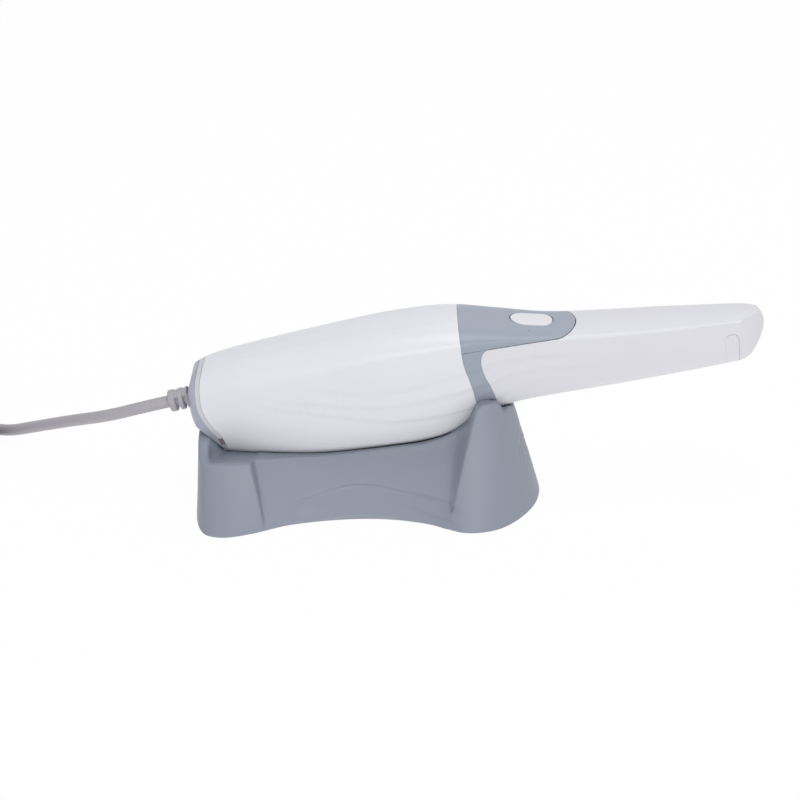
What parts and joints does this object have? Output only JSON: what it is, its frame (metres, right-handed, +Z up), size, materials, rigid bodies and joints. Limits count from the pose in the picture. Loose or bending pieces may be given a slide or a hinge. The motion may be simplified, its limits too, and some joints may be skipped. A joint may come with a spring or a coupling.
{
  "type": "intraoral scanner",
  "caption": "Hand-held intraoral scanner with a removable mirror tip and a scan button, lying in a waisted desk cradle, with a corded cable.",
  "frame": {"origin": "centre of the cradle's foot on the table, at the bottom of the rubber sole", "axes": "+X from the cable end towards the scanning tip, +Z up, +Y across the cradle"},
  "size_m": [0.4228, 0.1399, 0.086],
  "materials": {
    "white_shell": "satin white moulded shell",
    "white_ring": "satin off-white ring",
    "grey_cover": "satin blue grey cover",
    "grey_collar": "satin blue grey band",
    "grey_cap": "satin grey cap",
    "button_white": "satin white button",
    "contact_brown": "satin brown inlay",
    "inlay_pale": "satin pale inlay",
    "light_pipe": "clear light pipe",
    "tip_white": "satin white autoclavable tip",
    "holder_grey": "pale grey holder",
    "mirror_silver": "front-surface mirror",
    "nose_black": "black anodised look",
    "optic_glass": "clear optical glass",
    "barrel_black": "black anodised",
    "chassis_alu": "machined",
    "screw_steel": "plain steel",
    "module_black": "black module housing",
    "board_green": "solder mask",
    "chip_black": "chip packages",
    "spring_steel": "spring steel",
    "boot_grey": "soft grey boot",
    "cable_grey": "soft grey cable jacket",
    "tie_black": "hook and loop strap",
    "plug_grey": "moulded plug grip",
    "shell_steel": "bent sheet steel",
    "tongue_blue": "insulating tongue",
    "cradle_grey": "satin grey cradle",
    "base_grey": "dark grey plate",
    "ballast_iron": "painted iron",
    "sole_rubber": "non-slip mat"
  },
  "bodies": {
    "base": {"main_housing": "white_shell", "spine_cover": "white_shell", "upper_cover": "grey_cover", "grip_collar": "grey_collar", "rear_ring": "white_ring", "ring_contact_patch": "contact_brown", "ring_light_patch": "inlay_pale", "rear_cap": "grey_cap", "status_light": "light_pipe", "nose_tube": "nose_black", "nose_window": "optic_glass", "lens_barrel": "barrel_black", "rear_lens": "optic_glass", "front_lens": "optic_glass", "optical_chassis": "chassis_alu", "chassis_screws": "screw_steel", "beam_splitter": "optic_glass", "projector_module": "module_black", "camera_module": "module_black", "main_board": "board_green", "board_chips": "chip_black", "heat_spreader": "chassis_alu", "button_switch": "module_black", "tip_spring": "spring_steel", "cable_boot": "boot_grey", "cable_clamp": "nose_black", "cable": "cable_grey", "cable_coil": "cable_grey", "cable_tail": "cable_grey", "cable_tie": "tie_black", "usb_plug": "plug_grey", "usb_shell": "shell_steel", "usb_tongue": "tongue_blue", "cradle_shell": "cradle_grey", "cradle_base": "base_grey", "base_screws": "screw_steel", "ballast_weight": "ballast_iron", "rubber_sole": "sole_rubber"},
    "tip": {"tip_sleeve": "tip_white", "mirror_holder": "holder_grey", "tip_mirror": "mirror_silver"},
    "button": {"scan_button": "button_white"}
  },
  "joints": [
    {"name": "tip_slide", "type": "slide", "parent": "base", "child": "tip", "axis": [0.9933, 0, 0.1154], "range_m": [0, 0.095]},
    {"name": "button_press", "type": "slide", "parent": "base", "child": "button", "axis": [0.1495, 0, -0.9888], "range_m": [0, 0.0006], "stiffness_N_per_m": 600, "springref_m": -0.0005}
  ]
}
